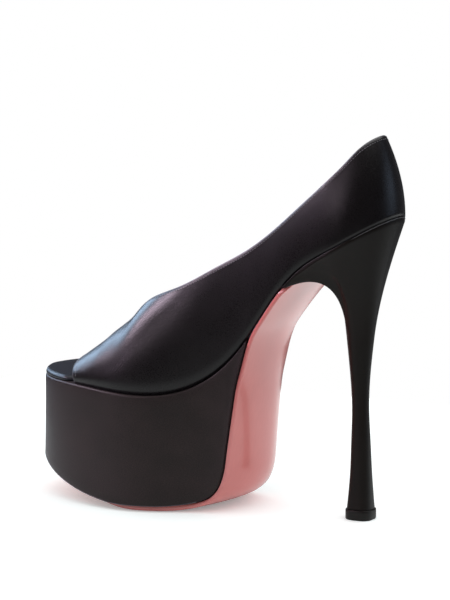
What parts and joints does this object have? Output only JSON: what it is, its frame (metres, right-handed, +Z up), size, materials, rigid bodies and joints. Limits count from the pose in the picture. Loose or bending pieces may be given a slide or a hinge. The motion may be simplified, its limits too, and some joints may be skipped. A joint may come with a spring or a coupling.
{
  "type": "platform heeled shoe",
  "caption": "Left-foot peep-toe platform pump with a closed counter, satin upper, covered platform, slender flared heel and leather outsole.",
  "frame": {"origin": "middle of the shoe's outline on the floor", "axes": "toe towards -Y, outer side of this left shoe towards +X, +Z up from the floor"},
  "size_m": [0.0884, 0.1986, 0.1878],
  "materials": {
    "upper_satin": "black satin with a soft sheen",
    "insole_satin": "black satin over padding",
    "platform_satin": "black satin, matt along the wall",
    "heel_satin": "black satin",
    "sole_leather": "polished dusty pink leather",
    "tip_plastic": "hard black plastic"
  },
  "bodies": {
    "root": {"upper": "upper_satin", "insole": "insole_satin", "platform": "platform_satin", "heel": "heel_satin", "outsole": "sole_leather", "heel_tip": "tip_plastic"}
  },
  "joints": []
}
